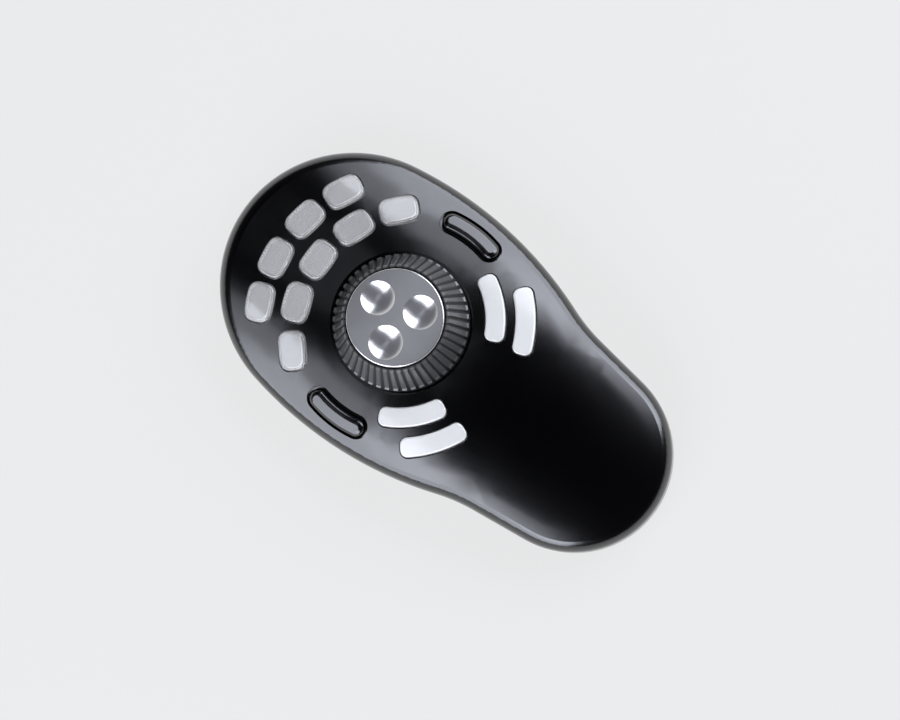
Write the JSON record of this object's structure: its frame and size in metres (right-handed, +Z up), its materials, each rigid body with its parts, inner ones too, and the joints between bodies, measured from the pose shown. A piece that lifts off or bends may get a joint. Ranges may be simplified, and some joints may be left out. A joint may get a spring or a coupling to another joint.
{
  "type": "multimedia controller",
  "caption": "Paddle-shaped desk controller with a palm rest, clear-capped small keys, pale bar keys, side keys and a dimpled dial inside a sprung ribbed ring.",
  "frame": {"origin": "middle of the bounding box at the height of the surface that the feet stand on", "axes": "+Y towards the head with the small keys, +X to the user's right, +Z up"},
  "size_m": [0.0938, 0.171, 0.0382],
  "materials": {
    "housing_gloss": "polished black",
    "housing_base": "fine textured black",
    "foot_rubber": "matt",
    "inlet_rubber": "matt",
    "dial_silver": "satin silver",
    "ring_rubber": "soft ribbed",
    "mechanism_plastic": "natural",
    "board": "lacquered laminate",
    "switch_plastic": "moulded",
    "chip_plastic": "moulded",
    "socket_plastic": "moulded",
    "plunger_plastic": "moulded",
    "steel": "plain",
    "clear_cap": "clear moulded acrylic",
    "key_base": "pale grey",
    "bar_key_gloss": "pale silver",
    "side_key_gloss": "polished black"
  },
  "bodies": {
    "housing": {"top_shell": "housing_gloss", "bottom_shell": "housing_base", "feet": "foot_rubber", "cable_inlet": "inlet_rubber", "main_board": "board", "switch_bodies": "switch_plastic", "processor": "chip_plastic", "cable_socket": "socket_plastic", "board_screws": "steel", "light_gates": "chip_plastic", "wheel_bearing": "mechanism_plastic", "carrier_clip": "steel", "detent_spring": "steel", "shuttle_spring": "steel", "housing_screws": "steel"},
    "jog": {"jog_dial": "dial_silver", "jog_shaft": "steel", "shaft_clip": "steel", "code_disc": "mechanism_plastic"},
    "shuttle": {"shuttle_ring": "ring_rubber", "shuttle_carrier": "mechanism_plastic"},
    "top_row_key_1": {"top_row_key_1_cap": "clear_cap", "top_row_key_1_base": "key_base", "top_row_key_1_plunger": "plunger_plastic"},
    "top_row_key_2": {"top_row_key_2_cap": "clear_cap", "top_row_key_2_base": "key_base", "top_row_key_2_plunger": "plunger_plastic"},
    "top_row_key_3": {"top_row_key_3_cap": "clear_cap", "top_row_key_3_base": "key_base", "top_row_key_3_plunger": "plunger_plastic"},
    "top_row_key_4": {"top_row_key_4_cap": "clear_cap", "top_row_key_4_base": "key_base", "top_row_key_4_plunger": "plunger_plastic"},
    "second_row_key_1": {"second_row_key_1_cap": "clear_cap", "second_row_key_1_base": "key_base", "second_row_key_1_plunger": "plunger_plastic"},
    "second_row_key_2": {"second_row_key_2_cap": "clear_cap", "second_row_key_2_base": "key_base", "second_row_key_2_plunger": "plunger_plastic"},
    "second_row_key_3": {"second_row_key_3_cap": "clear_cap", "second_row_key_3_base": "key_base", "second_row_key_3_plunger": "plunger_plastic"},
    "second_row_key_4": {"second_row_key_4_cap": "clear_cap", "second_row_key_4_base": "key_base", "second_row_key_4_plunger": "plunger_plastic"},
    "second_row_key_5": {"second_row_key_5_cap": "clear_cap", "second_row_key_5_base": "key_base", "second_row_key_5_plunger": "plunger_plastic"},
    "left_side_key": {"left_side_key": "side_key_gloss", "left_side_key_plunger": "plunger_plastic"},
    "left_inner_bar_key": {"left_inner_bar_key": "bar_key_gloss", "left_inner_bar_key_plunger": "plunger_plastic"},
    "left_outer_bar_key": {"left_outer_bar_key": "bar_key_gloss", "left_outer_bar_key_plunger": "plunger_plastic"},
    "right_side_key": {"right_side_key": "side_key_gloss", "right_side_key_plunger": "plunger_plastic"},
    "right_inner_bar_key": {"right_inner_bar_key": "bar_key_gloss", "right_inner_bar_key_plunger": "plunger_plastic"},
    "right_outer_bar_key": {"right_outer_bar_key": "bar_key_gloss", "right_outer_bar_key_plunger": "plunger_plastic"}
  },
  "joints": [
    {"name": "jog_turn", "type": "hinge", "parent": "housing", "child": "jog", "pos_m": [0, 0.0187, 0.02493], "axis": [0, 0.0872, 0.9962], "continuous": true},
    {"name": "shuttle_turn", "type": "hinge", "parent": "housing", "child": "shuttle", "pos_m": [0, 0.0187, 0.02493], "axis": [0, 0.0872, 0.9962], "range_deg": [-72, 72], "stiffness_Nm_per_rad": 0.02, "deforming": ["shuttle_spring"]},
    {"name": "top_row_key_1_press", "type": "slide", "parent": "housing", "child": "top_row_key_1", "axis": [0, -0.0872, -0.9962], "range_m": [0, 0.0005], "stiffness_N_per_m": 600, "springref_m": -0.0007},
    {"name": "top_row_key_2_press", "type": "slide", "parent": "housing", "child": "top_row_key_2", "axis": [0, -0.0872, -0.9962], "range_m": [0, 0.0005], "stiffness_N_per_m": 600, "springref_m": -0.0007},
    {"name": "top_row_key_3_press", "type": "slide", "parent": "housing", "child": "top_row_key_3", "axis": [0, -0.0872, -0.9962], "range_m": [0, 0.0005], "stiffness_N_per_m": 600, "springref_m": -0.0007},
    {"name": "top_row_key_4_press", "type": "slide", "parent": "housing", "child": "top_row_key_4", "axis": [0, -0.0872, -0.9962], "range_m": [0, 0.0005], "stiffness_N_per_m": 600, "springref_m": -0.0007},
    {"name": "second_row_key_1_press", "type": "slide", "parent": "housing", "child": "second_row_key_1", "axis": [0, -0.0872, -0.9962], "range_m": [0, 0.0005], "stiffness_N_per_m": 600, "springref_m": -0.0007},
    {"name": "second_row_key_2_press", "type": "slide", "parent": "housing", "child": "second_row_key_2", "axis": [0, -0.0872, -0.9962], "range_m": [0, 0.0005], "stiffness_N_per_m": 600, "springref_m": -0.0007},
    {"name": "second_row_key_3_press", "type": "slide", "parent": "housing", "child": "second_row_key_3", "axis": [0, -0.0872, -0.9962], "range_m": [0, 0.0005], "stiffness_N_per_m": 600, "springref_m": -0.0007},
    {"name": "second_row_key_4_press", "type": "slide", "parent": "housing", "child": "second_row_key_4", "axis": [0, -0.0872, -0.9962], "range_m": [0, 0.0005], "stiffness_N_per_m": 600, "springref_m": -0.0007},
    {"name": "second_row_key_5_press", "type": "slide", "parent": "housing", "child": "second_row_key_5", "axis": [0, -0.0872, -0.9962], "range_m": [0, 0.0005], "stiffness_N_per_m": 600, "springref_m": -0.0007},
    {"name": "left_side_key_press", "type": "slide", "parent": "housing", "child": "left_side_key", "axis": [0, -0.0872, -0.9962], "range_m": [0, 0.0005], "stiffness_N_per_m": 600, "springref_m": -0.0007},
    {"name": "left_inner_bar_key_press", "type": "slide", "parent": "housing", "child": "left_inner_bar_key", "axis": [0, -0.0872, -0.9962], "range_m": [0, 0.0005], "stiffness_N_per_m": 600, "springref_m": -0.0007},
    {"name": "left_outer_bar_key_press", "type": "slide", "parent": "housing", "child": "left_outer_bar_key", "axis": [0, -0.0872, -0.9962], "range_m": [0, 0.0005], "stiffness_N_per_m": 600, "springref_m": -0.0007},
    {"name": "right_side_key_press", "type": "slide", "parent": "housing", "child": "right_side_key", "axis": [0, -0.0872, -0.9962], "range_m": [0, 0.0005], "stiffness_N_per_m": 600, "springref_m": -0.0007},
    {"name": "right_inner_bar_key_press", "type": "slide", "parent": "housing", "child": "right_inner_bar_key", "axis": [0, -0.0872, -0.9962], "range_m": [0, 0.0005], "stiffness_N_per_m": 600, "springref_m": -0.0007},
    {"name": "right_outer_bar_key_press", "type": "slide", "parent": "housing", "child": "right_outer_bar_key", "axis": [0, -0.0872, -0.9962], "range_m": [0, 0.0005], "stiffness_N_per_m": 600, "springref_m": -0.0007}
  ]
}
